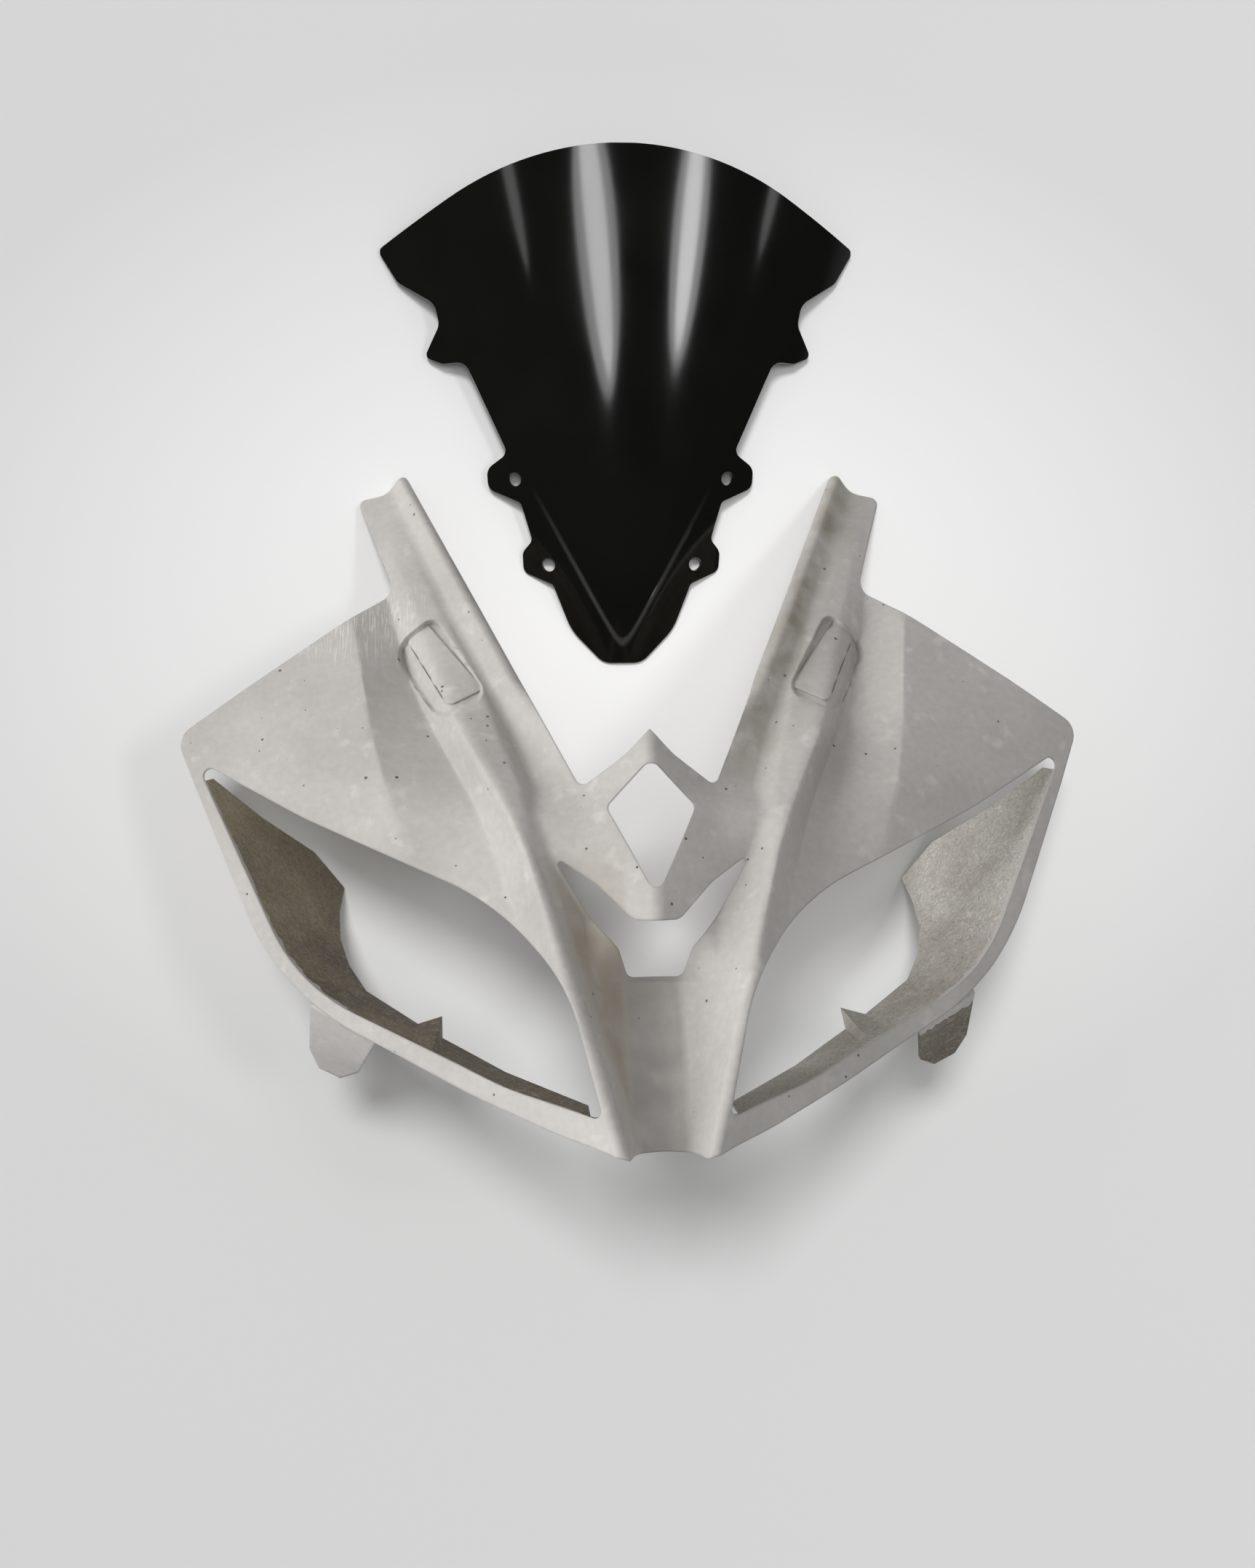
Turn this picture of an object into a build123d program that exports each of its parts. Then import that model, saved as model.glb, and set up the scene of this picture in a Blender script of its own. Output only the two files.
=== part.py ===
"""Nose fairing of a sports motorcycle with its windscreen laid beside it.

Lengths are in millimetres. Both pieces lie face up on the floor: X runs across,
Y from the nose towards the top of the screen, Z up. The fairing is given by its
right half, with y counted from the lower end of the nose and heights from a level
SETTLE below the floor, so that its arm tips and lamp walls stand on the floor.
"""
import os
from math import cos, radians, sin, tan

from build123d import *

os.makedirs("parts", exist_ok=True)

NOSE_Y = -336.0
SETTLE = 2.5
WALL = 3.0
SCREEN_WALL = 3.0
REACH = 500.0
OVER = -20.0

# Lines of the skin. Each row holds y, the height on the centre line, the set-back of
# the crest rounding, and then (x, z) of the screen edge, groove, ridge, crest, valley,
# shoulder crease and of a point outside the trimmed edge. Below the slot the screen
# edge becomes the foot of the trough, and groove and ridge become its flank. Along
# the arms the low centre turns the screen edge down into a lip.
LINES = [
    (-12, 302, 11, (14.5, 308), (17.5, 318), (18.5, 325), (20, 339), (37, 319), (97, 267), (198, 197)),
    (50, 268, 11, (20, 276), (29.5, 293), (33, 301), (39.4, 318), (56, 296), (115, 245), (230, 170)),
    (97, 240, 11, (24, 248), (40, 270), (46, 280), (53.5, 296), (71, 271), (135, 222), (270, 146)),
    (137, 277, 8, (22, 262), (41, 246), (56, 261.5), (66, 274), (85, 247), (145, 208), (285, 132)),
    (180, 264, 6.5, (44, 246), (65, 238), (72, 243), (79.5, 250), (99, 221), (155, 193), (302, 118)),
    (200, 257, 5, (44, 233), (72, 228), (79, 234), (88, 237), (106, 211), (160, 186), (312, 110)),
    (218, 250, 7, (43, 216), (71, 204), (81, 217), (97, 221), (115, 195), (166, 178), (320, 104)),
    (256, 235, 9, (62, 183), (86, 165), (94, 178), (118, 182), (136, 161), (177, 147), (330, 92)),
    (290, 12, 10, (82, 152), (101, 138), (108, 143), (133, 141), (152, 128), (183, 121), (330, 80)),
    (335, -64, 9, (104.5, 114), (123, 101), (131, 102.5), (147, 99), (164, 91), (192, 86), (260, 66)),
    (410, -197, 3.5, (141.6, 44), (156, 29), (164, 27), (172, 24.5), (181, 21), (195, 17.6), (240, 10)),
    (455, -276, 3.5, (164, 3), (175, -12), (183, -13.5), (191, -15.5), (200, -18.5), (214, -22), (240, -28)),
]
# Distance from each corner of the skin line at which its rounding starts.
CENTRE_SET = 6.0
EDGE_SET = 6.0
GROOVE_SET = 4.0
RIDGE_SET = 3.0
VALLEY_SET = 4.0

# Half outlines in plan, each corner as x, y and radius: trimmed edge, headlight
# opening, air slot, diamond vent and mirror pad. Those that meet the centre line run
# a little past it.
EDGE = [
    (OVER, 0, 0), (23, 0, 2), (66, 12, 100), (113, 29, 300), (239, 88, 150), (311, 256, 14),
    (201, 332, 22), (163, 356, 12), (191, 428, 5), (171, 432, 14), (157, 448, 4), (43, 218, 5),
    (15, 239, 40), (0, 255, 2), (OVER, 255, 0),
]
LAMP = [
    (297, 241, 5), (222, 201, 200), (101, 148, 150), (57, 102, 100), (37, 22, 4), (95, 36, 150),
    (226, 92, 110),
]
SLOT = [
    (OVER, 137, 0), (14, 137, 8), (36, 159, 30), (63, 177, 2), (40, 138, 40), (23, 119, 10),
    (17, 100, 6), (OVER, 100, 0),
]
VENT = [(OVER, 233, 0), (3, 233, 5), (28, 206, 5), (3, 157, 6), (OVER, 157, 0)]

# Mirror pad: a shallow recess with a raised land on its inner half.
PAD = [(135, 338, 8), (167, 314.5, 18), (132, 262.5, 12), (99, 280, 10)]
PAD_LAND = [(142, 334, 3), (155, 321, 6), (127, 273, 6), (103, 285, 3)]
PAD_ROWS = (218, 410)
PAD_DEPTH = 3.4
PAD_FLOOR = 3.6
LAND_RISE = 1.4

# Wall behind the lower edge of the headlight opening: distance along that edge from
# its outer end, depth of the wall and how far it leans in. A small hook stands out of
# its rear edge two thirds of the way to the nose.
WALL_ROWS = [
    (16, 20, 4), (53, 62, 19), (91, 128, 37), (124, 152, 44), (144, 128, 34), (163, 102, 25),
    (182, 86, 17), (203, 75, 9), (243, 68, 5), (256, 82, 15), (261, 65, 4), (305, 55, 3), (356, 38, 2),
]
WALL_INSET = 0.6

# Lug below the lower corner: where it leaves the skin, and x, y, height and width of
# the sections towards its end.
LUG_ROOT = (196, 70)
LUG_ROOT_WIDTH = 56.0
LUG_END = [(205, 40, 134, 36), (209, 30, 118, 16)]
LUG_BEARING = 26.6

# Windscreen: crown line and turning axis in the middle plane as y and z, half outline,
# and the tab holes as y on the crown line and turn about the axis.
CROWN = [(300, 1.5), (415, 27), (520, 45.5), (610, 57.8), (690, 66)]
SCREEN_AXIS = [(300, -82), (690, -262)]
SCREEN_TURN = 75.0
SCREEN_EDGE = [
    (OVER, 309, 0), (14, 309, 14), (37, 333, 40), (50, 366, 5), (71, 376, 7), (72, 390, 7),
    (65, 398, 5), (73, 425, 5), (96, 436, 8), (97, 450, 8), (82, 460, 6), (112, 526, 10),
    (128, 526, 5), (141, 532, 4), (130, 553, 10), (133, 568, 14), (160, 586, 12), (174, 610, 4),
    (65, 672, 250), (OVER, 672, 0),
]
TAB_HOLES = [(385, 24.5), (449.5, 27.5)]
TAB_HOLE_D = 10.0

PLAN = Plane(origin=(0, NOSE_Y, -REACH / 2))
MIDDLE = Plane(origin=(0, NOSE_Y, 0), x_dir=(0, 1, 0), z_dir=(1, 0, 0))


def station(y):
    """Upright plane across the fairing, with X across and Z up."""
    return Plane(origin=(0, NOSE_Y + y, -SETTLE), x_dir=(1, 0, 0), z_dir=(0, -1, 0))


def section_points(y):
    """Corners of the skin line at y from past the centre line outward, and the crest's set-back."""
    low, high = next(pair for pair in zip(LINES, LINES[1:]) if pair[1][0] >= y)
    share = (y - low[0]) / (high[0] - low[0])
    starts, ends = ([Vector(0, row[1]), *(Vector(*pair) for pair in row[3:])] for row in (low, high))
    points = [a + (b - a) * share for a, b in zip(starts, ends)]
    return [Vector(-points[1].X, points[1].Y), *points], low[2] + (high[2] - low[2]) * share


def face_height(x, y):
    """Height of the skin over the plan point."""
    points, _ = section_points(y)
    a, b = next(pair for pair in zip(points, points[1:]) if pair[1].X >= x)
    return a.Y + (b.Y - a.Y) * (x - a.X) / (b.X - a.X)


def skin_line(y, lift=0):
    """Line of the skin at y, lifted by the given amount, with each corner but the shoulder rounded."""
    points, crest_set = section_points(y)
    points = [point + Vector(0, lift) for point in points]
    turns = [(b - a).get_angle(c - b) for a, b, c in zip(points, points[1:], points[2:])]
    sets = [CENTRE_SET, EDGE_SET, GROOVE_SET, RIDGE_SET, crest_set, VALLEY_SET, 0]
    return FilletPolyline(*points, radius=[gap / tan(radians(turn / 2)) for gap, turn in zip(sets, turns)])


def skin_section(y):
    """Section of the skin at y, one wall thick."""
    with BuildSketch(station(y)) as section:
        with BuildLine():
            offset(skin_line(y), amount=WALL, kind=Kind.INTERSECTION, side=Side.RIGHT)
        make_face()
    return section.sketch


def band_section(y, high, low):
    """Section between two copies of the skin line shifted up and down."""
    with BuildSketch(station(y)) as section:
        with BuildLine():
            upper = skin_line(y, high)
            lower = skin_line(y, low)
            Line(upper @ 0, lower @ 0)
            Line(upper @ 1, lower @ 1)
        make_face()
    return section.sketch


def plan_outline(corners, grow=0):
    """Closed outline in plan from corners given as x, y and corner radius."""
    with BuildSketch(PLAN) as outline:
        with BuildLine():
            FilletPolyline(*[(x, y) for x, y, _ in corners], radius=[r for _, _, r in corners], close=True)
        make_face()
        if grow:
            offset(amount=grow)
    return outline.sketch


def pad_band(corners, high, low, grow=0):
    """Piece of a shifted skin inside an outline on the mirror pad."""
    rows = [row[0] for row in LINES if PAD_ROWS[0] <= row[0] <= PAD_ROWS[1]]
    with BuildPart() as band:
        loft(sections=[band_section(y, high, low) for y in rows], ruled=True)
        extrude(plan_outline(corners, grow), amount=2 * REACH, mode=Mode.INTERSECT)
    return band.part


def wall_section(distance, depth, lean):
    """Section of the wall at a distance along the lower edge of the headlight opening."""
    spot = lamp_edge.position_at(distance, PositionMode.LENGTH)
    along = lamp_edge.tangent_at(distance, PositionMode.LENGTH)
    out = Vector(-along.Y, along.X)
    near, far = (spot + out * gap for gap in (WALL_INSET, WALL_INSET + WALL))
    tops = [face_height(point.X, point.Y) - WALL / 2 for point in (near, far)]
    with BuildSketch(Plane(origin=(spot.X, NOSE_Y + spot.Y, -SETTLE), x_dir=out, z_dir=along)) as section:
        with BuildLine():
            Polyline(
                (WALL_INSET, tops[0]), (WALL_INSET + WALL, tops[1]),
                (WALL_INSET + WALL - lean, tops[0] - depth), (WALL_INSET - lean, tops[0] - depth), close=True,
            )
        make_face()
    return section.sketch


def lug_section(x, y, height, width, fall=0):
    """Section of a lug: a strip along the lug's bearing that falls outward by the slope."""
    along = Vector(cos(radians(LUG_BEARING)), sin(radians(LUG_BEARING)), -fall)
    across = Vector(along.Y, -along.X, 0)
    place = Plane(origin=(x, NOSE_Y + y, height - SETTLE), x_dir=along, z_dir=along.cross(across))
    with BuildSketch(place) as section:
        Rectangle(width, WALL)
    return section.sketch


def screen_frame(y, turn):
    """Plane on the outer face of the windscreen, from y on the crown line turned about the axis."""
    a, b = next(pair for pair in zip(CROWN, CROWN[1:]) if pair[1][0] >= y)
    slope = (b[1] - a[1]) / (b[0] - a[0])
    arm = Vector(0, NOSE_Y + y, a[1] + slope * (y - a[0])) - screen_axis.position
    normal = Vector(0, -slope, 1)
    foot = screen_axis.position + arm.rotate(screen_axis, turn)
    return Plane(origin=foot, z_dir=normal.rotate(screen_axis, turn))


lamp_corners = [LAMP[0], *LAMP[:3:-1]]
lamp_edge = FilletPolyline(*[(x, y) for x, y, _ in lamp_corners], radius=[r for _, _, r in lamp_corners[1:3]])
(axis_y, axis_z), (end_y, end_z) = SCREEN_AXIS
screen_axis = Axis((0, NOSE_Y + axis_y, axis_z), (0, end_y - axis_y, end_z - axis_z))

pad_cup = pad_band(PAD, -WALL / 2, -PAD_DEPTH - PAD_FLOOR, WALL)
pad_recess = pad_band(PAD, PAD_DEPTH, -PAD_DEPTH)
pad_land = pad_band(PAD_LAND, LAND_RISE - PAD_DEPTH, -PAD_DEPTH - PAD_FLOOR / 2)
root_z = face_height(*LUG_ROOT)
outward = Vector(*LUG_ROOT) + Vector(cos(radians(LUG_BEARING)), sin(radians(LUG_BEARING)))
root_fall = root_z - face_height(outward.X, outward.Y)

with BuildPart() as cowl:
    loft(sections=[skin_section(row[0]) for row in LINES], ruled=True)
    extrude(plan_outline(EDGE), amount=2 * REACH, mode=Mode.INTERSECT)
    for corners in [LAMP, SLOT, VENT]:
        extrude(plan_outline(corners), amount=2 * REACH, mode=Mode.SUBTRACT)
    add(pad_cup)
    add(pad_recess, mode=Mode.SUBTRACT)
    add(pad_land)
    loft(sections=[wall_section(*row) for row in WALL_ROWS], ruled=True)
    lug_root = lug_section(*LUG_ROOT, root_z - WALL / 2, LUG_ROOT_WIDTH, root_fall)
    loft(sections=[lug_root, *[lug_section(*row) for row in LUG_END]], ruled=True)
    split(bisect_by=Plane.XY, keep=Keep.TOP)
    split(bisect_by=Plane.YZ, keep=Keep.TOP)
    mirror(about=Plane.YZ)
cowl.part.label = "nose_cowl"
export_step(cowl.part, "parts/nose_cowl.step")

with BuildPart() as windscreen:
    with BuildSketch(MIDDLE):
        with BuildLine():
            offset(Polyline(*CROWN), amount=SCREEN_WALL, kind=Kind.INTERSECTION, side=Side.RIGHT)
        make_face()
    revolve(axis=screen_axis, revolution_arc=SCREEN_TURN)
    extrude(plan_outline(SCREEN_EDGE), amount=2 * REACH, mode=Mode.INTERSECT)
    split(bisect_by=Plane.XY, keep=Keep.TOP)
    for y, turn in TAB_HOLES:
        with BuildSketch(screen_frame(y, turn)):
            Circle(TAB_HOLE_D / 2)
        extrude(amount=2 * SCREEN_WALL, both=True, mode=Mode.SUBTRACT)
    mirror(about=Plane.YZ)
windscreen.part.label = "windscreen"
export_step(windscreen.part, "parts/windscreen.step")
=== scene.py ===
from math import cos, radians, sin

import bpy
import numpy as np
from mathutils import Matrix, Vector


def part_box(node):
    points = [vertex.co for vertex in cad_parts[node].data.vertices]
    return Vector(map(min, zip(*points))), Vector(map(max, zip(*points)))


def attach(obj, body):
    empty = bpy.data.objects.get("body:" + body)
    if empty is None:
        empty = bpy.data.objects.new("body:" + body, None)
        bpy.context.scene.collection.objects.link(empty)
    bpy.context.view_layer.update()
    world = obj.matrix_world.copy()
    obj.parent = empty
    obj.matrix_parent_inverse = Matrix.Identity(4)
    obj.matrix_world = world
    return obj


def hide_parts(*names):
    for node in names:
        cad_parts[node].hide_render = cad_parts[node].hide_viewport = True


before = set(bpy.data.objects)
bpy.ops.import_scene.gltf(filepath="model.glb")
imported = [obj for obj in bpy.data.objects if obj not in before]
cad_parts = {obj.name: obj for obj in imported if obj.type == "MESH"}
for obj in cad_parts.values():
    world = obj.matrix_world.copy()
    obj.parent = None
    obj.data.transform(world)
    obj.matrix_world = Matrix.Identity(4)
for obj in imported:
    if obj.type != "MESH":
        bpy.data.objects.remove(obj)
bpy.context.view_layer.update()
scene = bpy.context.scene
scene.view_settings.view_transform = "Standard"

MM = 0.001
NOSE_Y = -336.0
# Edges that open by more than SHARP degrees stay crisp. Points within WELD metres are one, and
# no length is divided by less than TINY.
SHARP = 32.0
WELD = 1e-6
TINY = 1e-12
# Height of a face's unit normal from which it looks up, below which it looks down, and under
# which, either way, it is steep.
UP_FACE = 0.3
UNDER_FACE = -0.15
STEEP_FACE = 0.5

# Half outline in plan of the headlight opening: x from the centre line, y from the lower
# end of the nose and the corner's radius. What lies deeper than the rim there is bare.
LAMP = [
    (297, 241, 5), (222, 201, 200), (101, 148, 150), (57, 102, 100), (37, 22, 4), (95, 36, 150),
    (226, 92, 110),
]
# Windscreen: crown line and turning axis in the middle plane, as y and z.
CROWN = [(300, 1.5), (415, 27), (520, 45.5), (610, 57.8), (690, 66)]
SCREEN_AXIS = [(300, -82), (690, -262)]
# Skin of the cowl by rows, half of it: y from the lower end of the nose, then x and height
# of the edge beside the screen, groove, ridge, crest, valley, shoulder and far end, then how
# much deeper than in the solid the valley lies and how much higher the shoulder.
SKIN = [
    (-12, 14.5, 308, 17.5, 318, 18.5, 325, 20, 339, 37, 319, 97, 267, 198, 197, 0, 0),
    (50, 20, 276, 29.5, 293, 33, 301, 39.4, 318, 56, 296, 115, 245, 230, 170, 0, 0),
    (97, 24, 248, 40, 270, 46, 280, 53.5, 296, 71, 271, 135, 222, 270, 146, 0, 0),
    (137, 22, 262, 41, 246, 56, 261.5, 66, 274, 85, 247, 145, 208, 285, 132, 6, 1),
    (180, 44, 246, 65, 238, 72, 243, 79.5, 250, 99, 221, 155, 193, 302, 118, 11, 4),
    (200, 44, 233, 72, 228, 79, 234, 88, 237, 106, 211, 160, 186, 312, 110, 13, 5),
    (218, 43, 216, 71, 204, 81, 217, 97, 221, 115, 195, 166, 178, 320, 104, 15, 6),
    (256, 62, 183, 86, 165, 94, 178, 118, 182, 136, 161, 177, 147, 330, 92, 17, 7),
    (290, 82, 152, 101, 138, 108, 143, 133, 141, 152, 128, 183, 121, 330, 80, 15, 7),
    (335, 104.5, 114, 123, 101, 131, 102.5, 147, 99, 164, 91, 192, 86, 260, 66, 9, 4),
    (410, 141.6, 44, 156, 29, 164, 27, 172, 24.5, 181, 21, 195, 17.6, 240, 10, 0, 0),
    (455, 164, 3, 175, -12, 183, -13.5, 191, -15.5, 200, -18.5, 214, -22, 240, -28, 0, 0),
]
# Half outline in plan of the mirror pad, how far its floor is set down and its side slopes in,
# and how far beyond the outline its underside reaches.
PAD = [(135, 338, 8), (167, 314.5, 18), (132, 262.5, 12), (99, 280, 10)]
PAD_SINK = 2.5
PAD_SLOPE = 3.0
PAD_RIM = 3.2
# Foot of the lower lug: x, y from the lower end of the nose and height, the way it leaves the
# skin in plan, and how far below the skin, which falls by LUG_FALL outward, its own faces lie.
LUG_FOOT = (196, 70, 190)
LUG_WAY = (0.448, -0.894)
LUG_FALL = 0.65
LUG_BELOW = 12.0
# Longest side of a triangle on the cowl and on the screen, and steps in a rounded corner.
COWL_SIDE = 9.0
SCREEN_SIDE = 6.0
ARC_STEPS = 12
# Headlight rim: how near the outline its vertices lie, how near each other they count, how far
# from the outline a wall starts, and a depth beyond any wall's.
RIM_GAP = 0.3
RIM_NEAR = 6.0
WALL_REACH = 5.0
DEEPEST = 200.0

# Dirt beside the right screen edge: normal of that edge in plan, and where the dirt lies across
# the arm and sets in along y.
DIRT_WAY = (0.896, -0.444, 0.0)
DIRT_ACROSS = (84, 132)
DIRT_ALONG = (-130, -80)
# Sanded left neck: its middle, how far round it the marks fade in, a stroke's thickness and
# length, and the strokes' turns in degrees.
SANDED = (-190, 4, 85)
SANDED_ROUND = (82, 45)
STROKE = (1.1, 18)
STROKE_TURNS = (52, 18)
# Trough, where shade is painted: the crest beside it lies at this slope in plan and distance
# from the middle, and its floor and left side lie between these distances.
CREST_SLOPE = 0.31
CREST_FOOT = 121
TROUGH_SHIFT = 2
TROUGH_FLOOR = (20, 15)
TROUGH_SIDE = (-17, -22)
# Crease at the screen's foot: rounding, slope and foot of the V, its width, and where it fades.
CREASE_ROUND = 5
CREASE_SLOPE = 0.54
CREASE_FOOT = 11.5
CREASE_WIDTH = 2.6
CREASE_FADE = (100, 20)
# Half axes of the painted pool of light, a pale oval in the middle of the floor.
GLOW = (560, 420)
# Overhead lamps, which the screen mirrors as streaks: width and length, place, turn in degrees
# and watts. The cores hang below the strips and brighten their middles.
LAMPS = {
    "strip_left": ((860, 1400), (-240, 230, 4000), 17.1, 14),
    "core_left": ((430, 1300), (-236, 280, 3940), 17.1, 9),
    "strip_right": ((860, 1300), (1811, 280, 4000), -6.5, 14),
    "core_right": ((430, 1200), (1784, 330, 3940), -6.5, 11.5),
    "edge_left": ((260, 900), (-2040, 500, 4000), 20, 1.2),
    "edge_right": ((420, 900), (4440, 500, 4000), -30, 2),
}

# Photograph: 1725 by 2156, taken from above with the camera a little to the left.
LOOK_AT = (2.5, -115.6, 0.0)
CAMERA_HEIGHT = 1600.0
CAMERA_LEAN = 4.2
CAMERA_ROLL = -0.8
FOCAL_PX = 3000.0
FRAME_W = 1725
SENSOR = 36.0
FLOOR_HALF = 20000.0
FLOOR_DROP = 0.5


def linear(code):
    """Linear colour of an sRGB hex code: the sRGB curve undone channel by channel."""
    value = np.array([int(code[i:i + 2], 16) for i in (1, 3, 5)]) / 255
    value = np.where(value <= 0.04045, value / 12.92, ((value + 0.055) / 1.055) ** 2.4)
    return (*value, 1.0)


def add(tree, kind, links=None, stops=(), **settings):
    """A node with its settings, links and colour stops.

    A link goes from a socket, or a plain value, to an input by name or number, and a stop
    is a place on the node's ramp with a hex code: the first, the last, then those between.
    """
    node = tree.nodes.new("ShaderNode" + kind)
    for name, value in settings.items():
        if hasattr(node, name):
            setattr(node, name, value)
        else:
            node.inputs[name.replace("_", " ")].default_value = value
    for name, source in (links or {}).items():
        target = node.inputs[name]
        if hasattr(source, "is_output"):
            tree.links.new(source, target)
        else:
            target.default_value = source
    for step, (place, code) in enumerate(stops):
        steps = node.color_ramp.elements
        stop = steps[step] if step < 2 else steps.new(place)
        stop.position = place
        stop.color = linear(code)
    return node


def finish(name):
    """An empty material and its node tree."""
    material = bpy.data.materials.new(name)
    material.use_nodes = True
    material.node_tree.nodes.clear()
    return material, material.node_tree


def rounded(corners):
    """Outline of a polygon with rounded corners.

    An arc's ends lie r / tan(h) from its corner along both sides, with h half the corner's
    angle, and its centre lies r / sin(h) along the bisector.
    """
    spots = np.array([corner[:2] for corner in corners], float)
    radius = np.array([corner[2] for corner in corners], float)[:, None]
    sides = [np.roll(spots, turn, axis=0) - spots for turn in (1, -1)]
    sides = [side / np.linalg.norm(side, axis=1, keepdims=True) for side in sides]
    half = np.arccos(np.sum(sides[0] * sides[1], axis=1, keepdims=True)) / 2
    middle = sides[0] + sides[1]
    middle /= np.linalg.norm(middle, axis=1, keepdims=True)
    centre = spots + middle * radius / np.sin(half)
    swing = np.pi / 2 - half
    turn = np.sign(sides[0][:, :1] * sides[1][:, 1:] - sides[0][:, 1:] * sides[1][:, :1])
    angle = np.linspace(-1, 1, ARC_STEPS + 1) * swing * -turn
    heading = np.arctan2(-middle[:, 1:], -middle[:, :1]) + angle
    arcs = centre[:, None] + radius[:, None] * np.stack([np.cos(heading), np.sin(heading)], axis=2)
    return arcs.reshape(-1, 2)


def inside(points, outline):
    """True where plan points lie in a polygon: an odd number of its edges pass below the point."""
    x, y = points.T
    odd = np.zeros(len(points), bool)
    for (x0, y0), (x1, y1) in zip(outline, np.roll(outline, -1, axis=0)):
        spans = (x0 > x) != (x1 > x)
        with np.errstate(divide="ignore", invalid="ignore"):
            odd ^= spans & (y > y0 + (y1 - y0) * (x - x0) / (x1 - x0))
    return odd


def gap_to(points, outline):
    """Least distance in plan from points to a polygon.

    A point's foot on an edge is kept between the edge's ends.
    """
    least = np.full(len(points), np.inf)
    for start, end in zip(outline, np.roll(outline, -1, axis=0)):
        run = end - start
        share = np.clip((points - start) @ run / (run @ run), 0, 1)[:, None]
        least = np.minimum(least, np.linalg.norm(points - start - share * run, axis=1))
    return least


def refined(points, faces, longest):
    """Triangles cut at the middles of their sides until no side is longer than the longest.

    A side that two triangles share has one middle, so both are cut alike: a triangle with
    one, two or three long sides becomes two, three or four.
    """
    while True:
        sides = np.sort(faces[:, [[0, 1], [1, 2], [2, 0]]].reshape(-1, 2), axis=1)
        pairs, place = np.unique(sides, axis=0, return_inverse=True)
        far = np.linalg.norm(points[pairs[:, 0]] - points[pairs[:, 1]], axis=1) > longest * MM
        if not far.any():
            return points, faces
        number = np.where(far, len(points) + np.cumsum(far) - 1, -1)
        middle = number[place.reshape(-1)].reshape(-1, 3)
        points = np.concatenate([points, points[pairs[far]].mean(axis=1)])
        cut = middle >= 0
        parts = [faces[~cut.any(axis=1)]]
        for turn in range(3):
            a, b, c = np.roll(faces, -turn, axis=1).T
            ab, bc, ca = np.roll(middle, -turn, axis=1).T
            first, second, third = np.roll(cut, -turn, axis=1).T
            for chosen, shares in (
                (first & ~second & ~third, ((a, ab, c), (ab, b, c))),
                (first & second & ~third, ((ab, b, bc), (a, ab, bc), (a, bc, c))),
                (
                    first & second & third & (turn == 0),
                    ((a, ab, ca), (ab, b, bc), (ca, bc, c), (ab, bc, ca)),
                ),
            ):
                parts += [np.column_stack(share)[chosen] for share in shares]
        faces = np.concatenate(parts)


def eased(place, knots, heights):
    """How far a smooth line through the knots departs from the straight runs between them.

    The smooth line is a cubic on each run; its slope at a knot is the mean of the runs on
    both sides, and at the ends it carries on the change from run to run.
    """
    runs = np.diff(heights) / np.diff(knots)
    slope = np.concatenate([
        1.5 * runs[:1] - 0.5 * runs[1:2],
        (runs[1:] + runs[:-1]) / 2,
        1.5 * runs[-1:] - 0.5 * runs[-2:-1],
    ])
    run = np.clip(np.searchsorted(knots, place) - 1, 0, len(runs) - 1)
    length = np.diff(knots)[run]
    share = np.clip((place - knots[run]) / length, 0, 1)
    return length * share * (1 - share) * (
        (1 - share) * (slope[run] - runs[run]) - share * (slope[run + 1] - runs[run])
    )


def crown_line():
    """Foot and direction of the screen's turning axis, and the crown's places and reaches on it."""
    foot, end = (np.array([0, NOSE_Y + y, z]) * MM for y, z in SCREEN_AXIS)
    axis = (end - foot) / np.linalg.norm(end - foot)
    crown = np.array([(0, NOSE_Y + y, z) for y, z in CROWN]) * MM - foot
    knots = crown @ axis
    return foot, axis, knots, np.linalg.norm(crown - knots[:, None] * axis, axis=1)


def bubble(points, faces):
    """The windscreen with its crown line drawn smooth.

    Along the turning axis the crown is a chain of straight runs. Each point moves away from
    the axis by what the smooth line through the chain's corners departs from it there.
    """
    foot, axis, knots, reach = crown_line()
    along = (points - foot) @ axis
    arm = points - foot - along[:, None] * axis
    away = arm / np.linalg.norm(arm, axis=1, keepdims=True)
    return points + away * eased(along, knots, reach)[:, None]


def polished(mesh):
    """Gives the sheet's two sides the normals of the smooth surface, so reflections run clean.

    The normal leans from the direction away from the axis by the crown's slope there, a
    difference over a millimetre either way. A face keeps its own normal where the two
    differ by more than SHARP, which is on the cut edges and in the holes.
    """
    foot, axis, knots, reach = crown_line()
    points, normal = np.empty(len(mesh.vertices) * 3), np.empty(len(mesh.loops) * 3)
    corner, flat = np.empty(len(mesh.loops), np.int32), np.empty(len(mesh.polygons) * 3)
    mesh.vertices.foreach_get("co", points)
    mesh.loops.foreach_get("vertex_index", corner)
    mesh.polygons.foreach_get("normal", flat)
    mesh.corner_normals.foreach_get("vector", normal)
    spots = points.reshape(-1, 3)[corner] - foot
    along = spots @ axis
    away = spots - along[:, None] * axis
    away /= np.linalg.norm(away, axis=1, keepdims=True)
    ends = [
        np.interp(place, knots, reach) + eased(place, knots, reach)
        for place in (along - MM, along + MM)
    ]
    true = away - ((ends[1] - ends[0]) / (2 * MM))[:, None] * axis
    true /= np.linalg.norm(true, axis=1, keepdims=True)
    match = np.sum(true * np.repeat(flat.reshape(-1, 3), 3, axis=0), axis=1)
    side = np.abs(match) > cos(radians(SHARP))
    normal = np.where(side[:, None], true * np.sign(match)[:, None], normal.reshape(-1, 3))
    mesh.normals_split_custom_set(normal.tolist())


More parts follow.
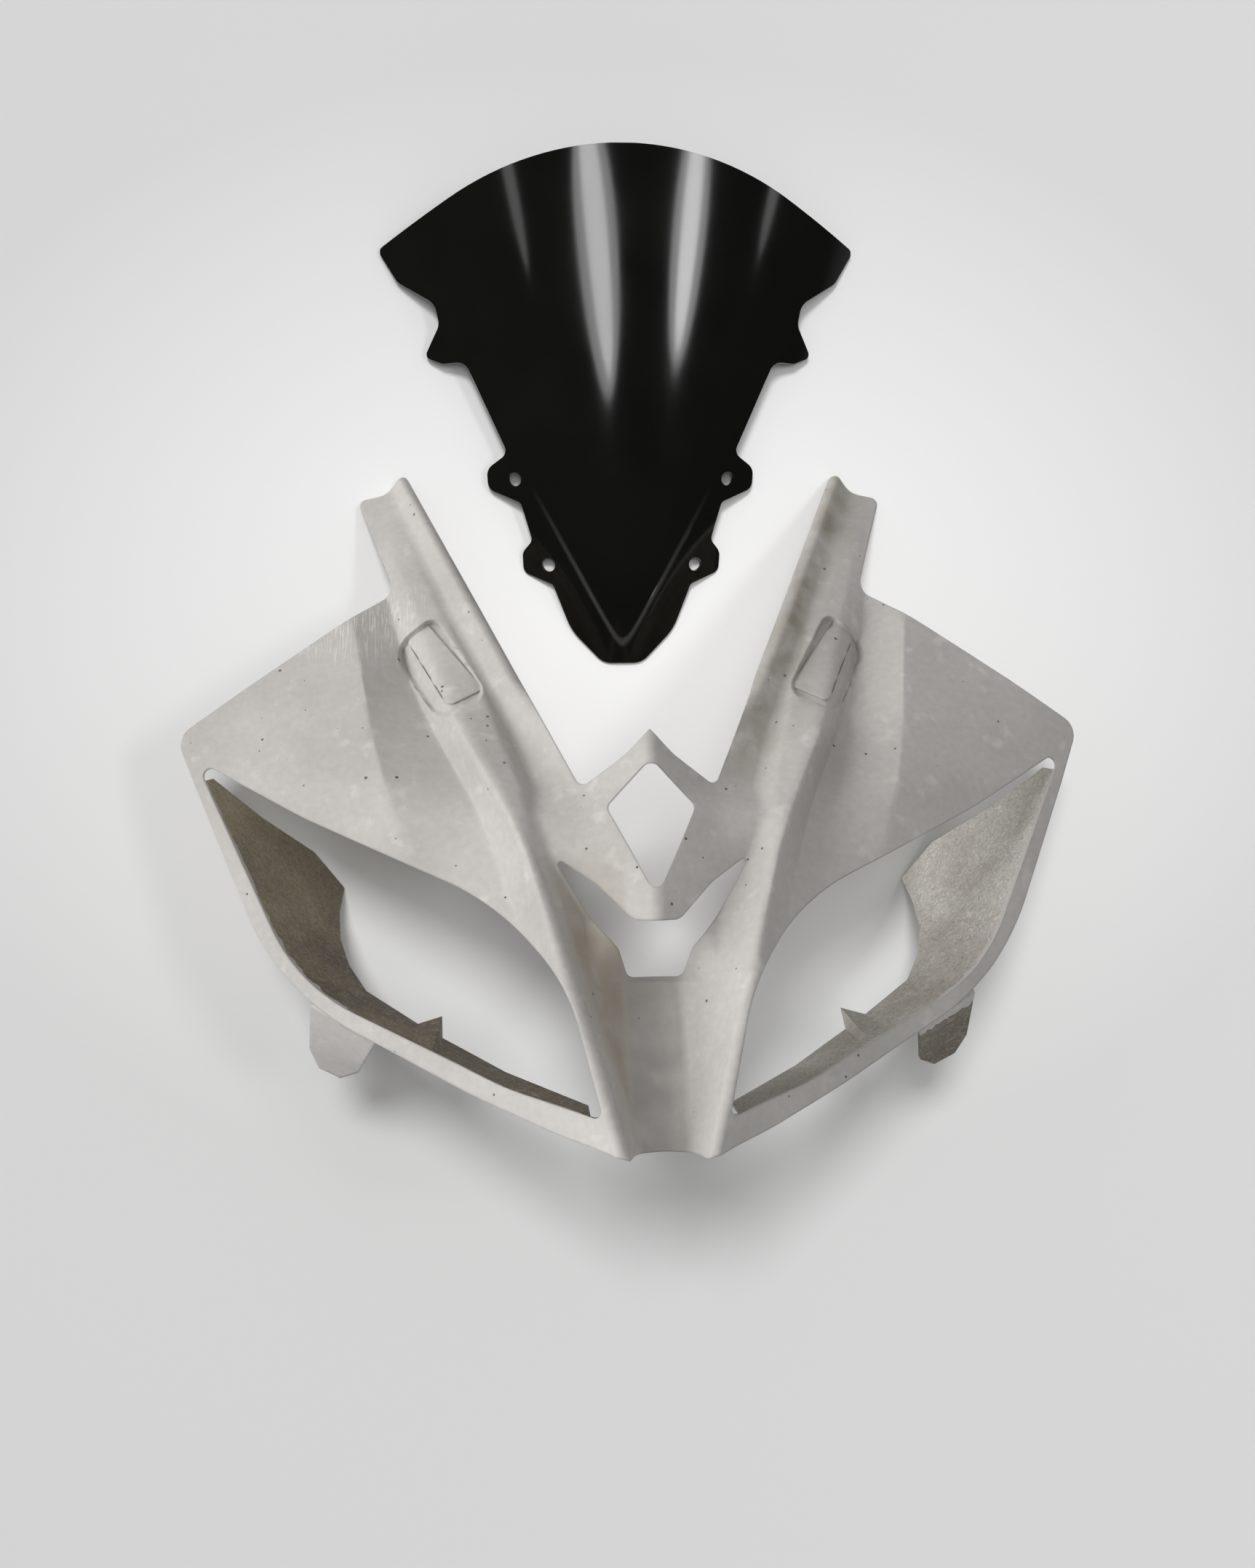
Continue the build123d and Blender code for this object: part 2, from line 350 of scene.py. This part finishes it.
def sculpt(points, faces):
    """The cowl with its lines drawn smooth from row to row and its valley and pads set deeper.

    Between two rows the solid's lines run straight. From the ridge outward each line is
    raised or lowered to a smooth line through the rows, and the valley and the shoulder
    take their own set as well; across a row the change runs straight from line to line.
    """
    aside, row = np.abs(points[:, 0]) / MM, points[:, 1] / MM - NOSE_Y
    table = np.array(SKIN, float)
    rows, (dip, rise) = table[:, 0], table[:, -2:].T
    lines, heights = table[:, 1:-2:2].T, table[:, 2:-2:2].T
    places = [np.interp(row, rows, line) for line in lines]
    sets = [np.zeros(len(row)), np.zeros(len(row))]
    for height, change in zip(heights[2:], (0 * dip, 0 * dip, -dip, rise, 0 * dip)):
        sets.append(np.interp(row, rows, change) + eased(row, rows, height + change))
    lift = np.zeros(len(row))
    for x0, x1, z0, z1 in zip(places, places[1:], sets, sets[1:]):
        share = (aside - x0) / (x1 - x0)
        lift += np.where((share >= 0) & (share < 1), z0 + (z1 - z0) * share, 0)
    return sunk_pads(points + lift[:, None] * (0, 0, MM), faces)


def sunk_pads(points, faces):
    """The mirror pads' floors set down by PAD_SINK, with sides that slope in by PAD_SLOPE.

    The floor is made of the upward faces inside the outline, and its own underside of the
    downward ones inside the outline grown by PAD_RIM. A floor vertex on the outline moves
    towards the pad's middle, along the floor: down by the move times the floor's slope.
    """
    plan = np.column_stack([np.abs(points[:, 0]), points[:, 1]]) / MM - (0, NOSE_Y)
    outline = rounded(PAD)
    a, b, c = points[faces].transpose(1, 0, 2)
    normal = np.cross(b - a, c - a)
    normal /= np.maximum(np.linalg.norm(normal, axis=1, keepdims=True), TINY)
    middle = plan[faces].mean(axis=1)
    within = inside(middle, outline)
    ground = (normal[:, 2] > UP_FACE) & within
    below = (normal[:, 2] < -UP_FACE) & (within | (gap_to(middle, outline) < PAD_RIM))
    floor = np.unique(faces[ground])
    ring = floor[gap_to(plan[floor], outline) < RIM_GAP]
    tilt = np.zeros_like(points)
    for corner in faces[ground].T:
        np.add.at(tilt, corner, normal[ground])
    heart = np.mean([spot[:2] for spot in PAD], axis=0)
    move = heart - plan[ring]
    move *= PAD_SLOPE / np.linalg.norm(move, axis=1, keepdims=True)
    move[:, 0] *= np.sign(points[ring, 0])
    drop = -np.sum(tilt[ring, :2] * move, axis=1) / tilt[ring, 2]
    points = points.copy()
    points[ring] += np.column_stack([move, drop]) * MM
    points[np.unique(faces[ground | below]), 2] -= PAD_SINK * MM
    return points


def welded(name, shaped, longest):
    """A copy of a CAD node with the seams between its faces closed, refined and shaped.

    Equal corner points become one vertex, found as equal rows of rounded coordinates.
    An edge is sharp where the normals of its two triangles open by more than SHARP.
    """
    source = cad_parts[name].data
    points = np.empty(len(source.vertices) * 3)
    source.vertices.foreach_get("co", points)
    points = points.reshape(-1, 3)
    source.calc_loop_triangles()
    corners = np.empty(len(source.loop_triangles) * 3, np.int64)
    source.loop_triangles.foreach_get("vertices", corners)
    _, first, place = np.unique(
        np.round(points / WELD), axis=0, return_index=True, return_inverse=True,
    )
    faces = place.reshape(-1)[corners].reshape(-1, 3)
    a, b, c = faces.T
    whole = (a != b) & (b != c) & (a != c)
    points, faces = refined(points[first], faces[whole], longest)
    points = np.clip(shaped(points, faces), *(np.array(corner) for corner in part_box(name)))
    mesh = bpy.data.meshes.new(name + "_skin")
    mesh.from_pydata(points, [], faces)
    mesh.polygons.foreach_set("use_smooth", np.ones(len(mesh.polygons), bool))
    mesh.set_sharp_from_angle(angle=radians(SHARP))
    piece = bpy.data.objects.new(name + "_skin", mesh)
    scene.collection.objects.link(piece)
    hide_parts(name)
    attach(piece, "root")
    return piece


def strip_bare(mesh):
    """Gives headlight walls, undersides and the right lower lug the second material.

    The corner attribute "depth" is how far, in millimetres, a steep face in or near the
    opening lies below the rim: the height of the nearest piece of rim less its own. That
    height is the greatest of the vertices on the opening's outline within RIM_NEAR. Faces
    that look down and the lug's get a depth beyond any wall's.
    """
    count = len(mesh.polygons)
    normal, centre = np.empty(count * 3), np.empty(count * 3)
    mesh.polygons.foreach_get("normal", normal)
    mesh.polygons.foreach_get("center", centre)
    points = np.empty(len(mesh.vertices) * 3)
    mesh.vertices.foreach_get("co", points)
    corner = np.empty(count * 3, np.int32)
    mesh.loops.foreach_get("vertex_index", corner)
    upward = normal.reshape(-1, 3)[:, 2]
    points, centre = (values.reshape(-1, 3) / MM for values in (points, centre))
    spots, middles = (
        np.column_stack([np.abs(p[:, 0]), p[:, 1] - NOSE_Y]) for p in (points, centre)
    )
    outline = rounded(LAMP)
    gap = gap_to(spots, outline)
    rim = np.flatnonzero(gap < RIM_GAP)
    apart = np.linalg.norm(spots[rim][:, None] - spots[rim][None], axis=2)
    top = np.where(apart < RIM_NEAR, points[rim, 2], -np.inf).max(axis=1)
    near = np.flatnonzero(inside(spots, outline) | (gap < WALL_REACH))
    apart = np.linalg.norm(spots[near][:, None] - spots[rim][None], axis=2)
    below = np.zeros(len(points))
    below[near] = top[np.argmin(apart, axis=1)] - points[near, 2]
    under = upward < UNDER_FACE
    beside = inside(middles, outline) | (gap_to(middles, outline) < WALL_REACH)
    wall = (np.abs(upward) < STEEP_FACE) & beside
    away = middles - LUG_FOOT[:2]
    low = centre[:, 2] < LUG_FOOT[2] - LUG_BELOW - LUG_FALL * away[:, 0]
    back = under | (low & (centre[:, 0] > 0) & (away @ np.array(LUG_WAY) > WALL_REACH))
    depth = np.where(np.repeat(back, 3), DEEPEST, below[corner])
    mesh.attributes.new("depth", "FLOAT", "CORNER").data.foreach_set("value", depth)
    mesh.polygons.foreach_set("material_index", (back | wall).astype(np.int32))


def raw_gelcoat():
    """Raw gelcoat over fibreglass, moulded and left unpainted: a pale, dull, slightly
    blotchy skin with pinholes, hand-sanding marks at one neck, brown dirt along one edge and
    painted shade in the trough of the nose."""
    material, tree = finish("raw_gelcoat")
    place = add(tree, "TexCoord").outputs["Object"]
    axes = add(tree, "SeparateXYZ", {0: place}).outputs
    cloud = add(tree, "TexNoise", {"Vector": place}, Scale=1 / (85 * MM), Detail=4.0).outputs[0]
    coat = add(
        tree, "ValToRGB", {0: cloud},
        stops=[(0.3, "#ACA9A6"), (0.7, "#BAB7B4"), (0.5, "#B3B0AD")],
    ).outputs[0]
    speck = add(tree, "TexNoise", {"Vector": place}, Scale=1 / (5 * MM), Detail=3.0).outputs[0]
    mottle = add(
        tree, "ValToRGB", {0: speck}, stops=[(0.3, "#F5F4F2"), (0.7, "#FFFFFF")],
    ).outputs[0]
    tone = add(
        tree, "Mix", {0: 1.0, 6: coat, 7: mottle}, data_type="RGBA", blend_type="MULTIPLY",
    ).outputs[2]

    # Pinholes are about 1 mm across, one in some centimetres; up to 2.4 mm lets them show.
    cell = add(tree, "TexVoronoi", {"Vector": place}, Scale=1 / (10 * MM)).outputs
    chance = add(tree, "SeparateColor", {0: cell["Color"]}).outputs[0]
    width = add(tree, "MapRange", {0: chance, 1: 0.5, 2: 1.0, 3: 0.0, 4: 0.12}).outputs[0]
    pit = add(tree, "Math", {0: cell["Distance"], 1: width}, operation="LESS_THAN").outputs[0]
    tone = add(
        tree, "Mix", {0: pit, 6: tone, 7: linear("#5F574E")}, data_type="RGBA",
    ).outputs[2]

    # Scuffs are soft, pale and about a centimetre wide.
    rub = add(tree, "TexNoise", {"Vector": place}, Scale=1 / (16 * MM), Detail=5.0).outputs[0]
    scuff = add(tree, "MapRange", {0: rub, 1: 0.6, 2: 0.8, 4: 0.5}).outputs[0]
    tone = add(
        tree, "Mix", {0: scuff, 6: tone, 7: linear("#D8D5D1")}, data_type="RGBA",
    ).outputs[2]

    # Dirt lies in the flank beside the right screen edge: a point's place across the arm is
    # the dot product with that edge's normal.
    beside = add(
        tree, "VectorMath", {0: place, 1: DIRT_WAY}, operation="DOT_PRODUCT",
    ).outputs["Value"]
    near, far = (reach * MM for reach in DIRT_ACROSS)
    across = add(tree, "MapRange", {0: beside, 1: near, 2: far}).outputs[0]
    band = add(
        tree, "ValToRGB", {0: across},
        stops=[(0.0, "#606060"), (1.0, "#000000"), (0.35, "#F0F0F0"), (0.65, "#909090")],
    ).outputs[0]
    smear = add(
        tree, "TexNoise", {"Vector": place}, Scale=1 / (20 * MM), Detail=5.0, Distortion=0.3,
    ).outputs[0]
    patchy = add(tree, "MapRange", {0: smear, 1: 0.3, 2: 0.7}).outputs[0]
    foot, head = (reach * MM for reach in DIRT_ALONG)
    arm = add(tree, "MapRange", {0: axes["Y"], 1: foot, 2: head}).outputs[0]
    dirt = band
    for part in (patchy, arm):
        dirt = add(tree, "Math", {0: dirt, 1: part}, operation="MULTIPLY").outputs[0]
    tone = add(
        tree, "Mix", {0: dirt, 6: tone, 7: linear("#7D7461")}, data_type="RGBA",
    ).outputs[2]

    # Sanding marks round the left neck: noise drawn out 16 to 1 along the strokes, two ways.
    spot = add(
        tree, "VectorMath", {0: place, 1: [side * MM for side in SANDED]}, operation="DISTANCE",
    ).outputs["Value"]
    ragged = add(tree, "Math", {0: smear, 1: 0.06, 2: spot}, operation="MULTIPLY_ADD").outputs[0]
    outer, inner = (reach * MM for reach in SANDED_ROUND)
    worked = add(tree, "MapRange", {0: ragged, 1: outer, 2: inner}).outputs[0]
    thick, long = (1 / (side * MM) for side in STROKE)
    for turn in STROKE_TURNS:
        strokes = add(
            tree, "Mapping", {"Vector": place},
            Rotation=(0.0, 0.0, radians(turn)), Scale=(thick, long, long),
        ).outputs[0]
        hatch = add(
            tree, "TexNoise", {"Vector": strokes}, Scale=1.0, Detail=3.0, Distortion=0.4,
        ).outputs[0]
        cut = add(tree, "MapRange", {0: hatch, 1: 0.56, 2: 0.68, 4: 0.7}).outputs[0]
        scratch = add(tree, "Math", {0: cut, 1: worked}, operation="MULTIPLY").outputs[0]
        tone = add(
            tree, "Mix", {0: scratch, 6: tone, 7: linear("#DEDBD7")}, data_type="RGBA",
        ).outputs[2]

    # Painted shade lies in the trough of the nose: darker grey on its floor and darker brown on
    # its left side, up to the crest, whose distance from the middle grows with y.
    shifted = add(tree, "Math", {0: axes["X"], 1: TROUGH_SHIFT * MM}, operation="ADD").outputs[0]
    aside = add(tree, "Math", {0: shifted}, operation="ABSOLUTE").outputs[0]
    near, far = (reach * MM for reach in TROUGH_FLOOR)
    level = add(tree, "MapRange", {0: aside, 1: near, 2: far}).outputs[0]
    near, far = (reach * MM for reach in TROUGH_SIDE)
    flank = add(tree, "MapRange", {0: axes["X"], 1: near, 2: far}).outputs[0]
    crest = add(
        tree, "Math", {0: axes["Y"], 1: CREST_SLOPE, 2: CREST_FOOT * MM},
        operation="MULTIPLY_ADD",
    ).outputs[0]
    inward = add(tree, "Math", {0: axes["X"], 1: crest}, operation="ADD").outputs[0]
    within = add(tree, "MapRange", {0: inward, 1: 0.0, 2: 6 * MM}).outputs[0]
    trough_shade = add(tree, "MapRange", {0: smear, 1: 0.25, 2: 0.75, 3: 0.35, 4: 0.95}).outputs[0]
    for end, reach, side, code in ((-205, 20, level, "#8F8B87"), (-150, 60, flank, "#948A79")):
        amount = add(
            tree, "MapRange", {0: axes["Y"], 1: end * MM, 2: (end - reach) * MM},
        ).outputs[0]
        for part in (side, within, trough_shade):
            amount = add(tree, "Math", {0: amount, 1: part}, operation="MULTIPLY").outputs[0]
        tone = add(
            tree, "Mix", {0: amount, 6: tone, 7: linear(code)}, data_type="RGBA",
        ).outputs[2]

    rough = add(tree, "MapRange", {0: cloud, 3: 0.4, 4: 0.62}).outputs[0]
    low = add(tree, "Math", {0: pit, 1: -12.0, 2: speck}, operation="MULTIPLY_ADD").outputs[0]
    soft = add(tree, "Bevel", samples=4, Radius=2.4 * MM).outputs[0]
    bump = add(
        tree, "Bump", {"Height": low, "Normal": soft}, Strength=0.3, Distance=0.03 * MM,
    ).outputs[0]
    skin = add(
        tree, "BsdfPrincipled", {"Base Color": tone, "Roughness": rough, "Normal": bump},
    )
    add(tree, "OutputMaterial", {"Surface": skin.outputs[0]})
    return material


def bare_laminate():
    """Hand-laid chopped-strand laminate as it left the mould: brown resin, uneven, with
    pale strands lying every way and darker towards the nose. The right headlight wall takes a
    paler, greyer copy of the resin as painted light, since that wall faces the low light from the
    left."""
    material, tree = finish("bare_laminate")
    place = add(tree, "TexCoord").outputs["Object"]
    axes = add(tree, "SeparateXYZ", {0: place}).outputs
    pool = add(tree, "TexNoise", {"Vector": place}, Scale=1 / (45 * MM), Detail=4.0).outputs[0]
    drift = add(tree, "Math", {0: pool, 1: 0.3, 2: axes["Y"]}, operation="MULTIPLY_ADD").outputs[0]
    along = add(tree, "MapRange", {0: drift, 1: -140 * MM, 2: 120 * MM}).outputs[0]
    stained = add(
        tree, "ValToRGB", {0: along},
        stops=[(0.0, "#6A5F4E"), (1.0, "#C4BAA3"), (0.5, "#A0957D")],
    ).outputs[0]
    lit_wall_tone = add(
        tree, "ValToRGB", {0: along},
        stops=[(0.0, "#B4AFA8"), (1.0, "#EAE8E5"), (0.5, "#DEDCD8")],
    ).outputs[0]
    deep = add(tree, "Attribute", attribute_name="depth").outputs["Fac"]
    wall = add(tree, "Math", {0: deep, 1: DEEPEST - 1}, operation="LESS_THAN").outputs[0]
    # Painted light: the right headlight wall, which faces the low light from the left, takes a
    # paler, greyer copy of the resin.
    half = add(tree, "MapRange", {0: axes["X"], 1: -30 * MM, 2: 30 * MM, 4: wall}).outputs[0]
    resin = add(tree, "Mix", {0: half, 6: stained, 7: lit_wall_tone}, data_type="RGBA").outputs[2]

    # Strands are 0.1 mm thick and 50 mm long; they are drawn about 1 mm thick to show.
    mat = add(
        tree, "TexNoise", {"Vector": place}, Scale=1 / (16 * MM), Detail=5.0, Distortion=2.2,
    ).outputs[0]
    strand = add(tree, "Math", {0: mat, 1: 0.5, 2: 0.02}, operation="COMPARE").outputs[0]
    weave = add(
        tree, "TexNoise", {"Vector": place}, Scale=1 / (3 * MM), Detail=4.0, Distortion=1.5,
    ).outputs[0]
    grain = add(
        tree, "ValToRGB", {0: weave}, stops=[(0.3, "#C4C0B9"), (0.7, "#FFFFFF")],
    ).outputs[0]
    tone = add(
        tree, "Mix", {0: 1.0, 6: resin, 7: grain}, data_type="RGBA", blend_type="MULTIPLY",
    ).outputs[2]
    share = add(tree, "Math", {0: strand, 1: 0.35}, operation="MULTIPLY").outputs[0]
    tone = add(
        tree, "Mix", {0: share, 6: tone, 7: linear("#B4AC9F")}, data_type="RGBA",
    ).outputs[2]

    # Gelcoat laps over the rim and ends a few millimetres down, along an uneven line.
    uneven = add(tree, "Math", {0: pool, 1: 9.0, 2: deep}, operation="MULTIPLY_ADD").outputs[0]
    bare = add(tree, "MapRange", {0: uneven, 1: 10.0, 2: 12.0}).outputs[0]
    tone = add(
        tree, "Mix", {0: bare, 6: linear("#BAB7B4"), 7: tone}, data_type="RGBA",
    ).outputs[2]
    lay = add(tree, "Math", {0: weave, 1: mat}, operation="ADD").outputs[0]
    bump = add(tree, "Bump", {"Height": lay, "Strength": bare}, Distance=0.9 * MM).outputs[0]
    rough = add(tree, "MapRange", {0: pool, 3: 0.4, 4: 0.75}).outputs[0]
    skin = add(
        tree, "BsdfPrincipled", {"Base Color": tone, "Roughness": rough, "Normal": bump},
    )
    add(tree, "OutputMaterial", {"Surface": skin.outputs[0]})
    return material


def smoked_acrylic():
    """Smoked acrylic sheet, blown to shape and polished: near black with a clear gloss, and
    a fine V-shaped crease where its foot was folded, with a painted highlight, a pale line, along
    it.

    The V is where the distance from the middle equals its foot plus its slope times y; the
    root of that distance squared and the rounding squared rounds its point.
    """
    material, tree = finish("smoked_acrylic")
    place = add(tree, "TexCoord").outputs["Object"]
    axes = add(tree, "SeparateXYZ", {0: place}).outputs
    square = add(
        tree, "Math", {0: axes["X"], 1: axes["X"], 2: (CREASE_ROUND * MM) ** 2},
        operation="MULTIPLY_ADD",
    ).outputs[0]
    aside = add(tree, "Math", {0: square}, operation="SQRT").outputs[0]
    fold = add(
        tree, "Math", {0: axes["Y"], 1: -CREASE_SLOPE, 2: aside}, operation="MULTIPLY_ADD",
    ).outputs[0]
    line = add(tree, "Math", {0: fold, 1: CREASE_FOOT * MM}, operation="SUBTRACT").outputs[0]
    away = add(tree, "Math", {0: line}, operation="ABSOLUTE").outputs[0]
    ridge = add(
        tree, "MapRange", {0: away, 1: CREASE_WIDTH * MM, 2: 0.0},
        interpolation_type="SMOOTHSTEP",
    ).outputs[0]
    gone, whole = (reach * MM for reach in CREASE_FADE)
    fade = add(tree, "MapRange", {0: axes["Y"], 1: gone, 2: whole}).outputs[0]
    crease = add(tree, "Math", {0: ridge, 1: fade}, operation="MULTIPLY").outputs[0]
    bump = add(tree, "Bump", {"Height": crease}, Strength=1.0, Distance=0.45 * MM).outputs[0]
    haze = add(tree, "TexNoise", {"Vector": place}, Scale=1 / (60 * MM), Detail=3.0).outputs[0]
    rough = add(tree, "MapRange", {0: haze, 3: 0.05, 4: 0.12}).outputs[0]
    tint = add(
        tree, "ValToRGB", {0: haze}, stops=[(0.3, "#090908"), (0.7, "#0E0E0C")],
    ).outputs[0]
    # Painted highlight along the crease: the base colour turns pale grey on the V.
    crease_highlight = add(tree, "Math", {0: crease, 1: 0.5}, operation="MULTIPLY").outputs[0]
    tint = add(
        tree, "Mix", {0: crease_highlight, 6: tint, 7: linear("#5A5A57")}, data_type="RGBA",
    ).outputs[2]
    sheet = add(
        tree, "BsdfPrincipled", {"Base Color": tint, "Roughness": rough, "Normal": bump},
        IOR=1.49,
    )
    add(tree, "OutputMaterial", {"Surface": sheet.outputs[0]})
    return material


def paper_floor():
    """Pale matt studio paper with a painted pool of light: white in the middle and a little greyer
    outward.
    """
    material, tree = finish("paper_floor")
    place = add(tree, "TexCoord").outputs["Object"]
    wide, long = (1 / (half * MM) for half in GLOW)
    # Painted pool of light: the paper is whitest in the middle of the oval and greyer outward.
    oval = add(
        tree, "VectorMath", {0: place, 1: (wide, long, 0.0)}, operation="MULTIPLY",
    ).outputs[0]
    ring = add(tree, "VectorMath", {0: oval}, operation="LENGTH").outputs["Value"]
    glow = add(
        tree, "ValToRGB", {0: ring},
        stops=[(0.0, "#FFFFFF"), (1.0, "#D9D9D9"), (0.5, "#ECECEC")],
    ).outputs[0]
    paper = add(tree, "BsdfPrincipled", {"Base Color": glow}, Roughness=0.9)
    add(tree, "OutputMaterial", {"Surface": paper.outputs[0]})
    return material


def lamp(name, size, place, turn, power):
    """An oval soft light that looks down, turned about the vertical, in millimetres and watts."""
    data = bpy.data.lights.new(name, "AREA")
    data.shape = "ELLIPSE"
    data.size, data.size_y = (side * MM for side in size)
    data.energy = power
    light = bpy.data.objects.new(name, data)
    light.location = Vector(place) * MM
    light.rotation_euler = (0, 0, radians(turn))
    scene.collection.objects.link(light)


def daylight(name, heading, spread, strength, pieces):
    """Even light from far away, as wide as the spread in degrees, on the given pieces only."""
    data = bpy.data.lights.new(name, "SUN")
    data.energy = strength
    data.angle = radians(spread)
    light = bpy.data.objects.new(name, data)
    light.rotation_euler = Vector(heading).to_track_quat("-Z", "Y").to_euler()
    light.visible_glossy = False
    scene.collection.objects.link(light)
    lit = bpy.data.collections.new(name)
    for piece in pieces:
        lit.objects.link(piece)
    light.light_linking.receiver_collection = lit


def studio():
    """The world: a dim, even room. To the eye and in reflections it has a pale wall and, from
    about 20 degrees up, a dark ceiling; the third part of a direction is the sine of its rise."""
    world = bpy.data.worlds.new("studio")
    world.use_nodes = True
    tree = world.node_tree
    tree.nodes.clear()
    room = add(tree, "Background", {"Color": linear("#FFFFFF")}, Strength=0.27)
    heading = add(tree, "TexCoord").outputs["Generated"]
    rise = add(tree, "SeparateXYZ", {0: heading}).outputs["Z"]
    shade = add(tree, "ValToRGB", {0: rise}, stops=[(0.15, "#D5D5D5"), (0.35, "#4A4A4A")])
    wall = add(tree, "Background", {"Color": shade.outputs[0]}, Strength=1.0)
    rays = add(tree, "LightPath").outputs
    seen = rays["Is Camera Ray"]
    for kind in ("Is Glossy Ray", "Is Transmission Ray"):
        seen = add(tree, "Math", {0: seen, 1: rays[kind]}, operation="MAXIMUM").outputs[0]
    both = add(tree, "MixShader", {0: seen, 1: room.outputs[0], 2: wall.outputs[0]})
    add(tree, "OutputWorld", {"Surface": both.outputs[0]})
    return world


cowl = welded("nose_cowl", sculpt, COWL_SIDE)
cowl.data.materials.append(raw_gelcoat())
cowl.data.materials.append(bare_laminate())
strip_bare(cowl.data)
screen = welded("windscreen", bubble, SCREEN_SIDE)
screen.data.materials.append(smoked_acrylic())
polished(screen.data)

floor = bpy.data.objects.new("floor", bpy.data.meshes.new("floor"))
half, drop = FLOOR_HALF * MM, -FLOOR_DROP * MM
floor.data.from_pydata(
    [(-half, -half, drop), (half, -half, drop), (half, half, drop), (-half, half, drop)],
    [], [(0, 1, 2, 3)],
)
floor.data.materials.append(paper_floor())
scene.collection.objects.link(floor)

for name, settings in LAMPS.items():
    lamp(name, *settings)
# Low light from the left models the cowl; light from behind lays its shadow in front of it.
daylight("window", (0.88, -0.27, -0.39), 50, 3.3, [cowl, screen])
daylight("over_floor", (0.13, -0.35, -0.93), 13, 1.56, [floor])
scene.world = studio()

camera = bpy.data.objects.new("camera", bpy.data.cameras.new("camera"))
camera.data.sensor_fit = "HORIZONTAL"
camera.data.sensor_width = SENSOR
camera.data.lens = FOCAL_PX / FRAME_W * SENSOR
lean = radians(CAMERA_LEAN)
back = Vector((-sin(lean), 0, cos(lean)))
right = Vector((0, 1, 0)).cross(back).normalized()
axes = Matrix((right, back.cross(right), back)).transposed().to_4x4()
spot = (Vector(LOOK_AT) + CAMERA_HEIGHT * back) * MM
roll = Matrix.Rotation(radians(CAMERA_ROLL), 4, "Z")
camera.matrix_world = Matrix.Translation(spot) @ axes @ roll
scene.collection.objects.link(camera)
scene.camera = camera

bpy.context.view_layer.update()
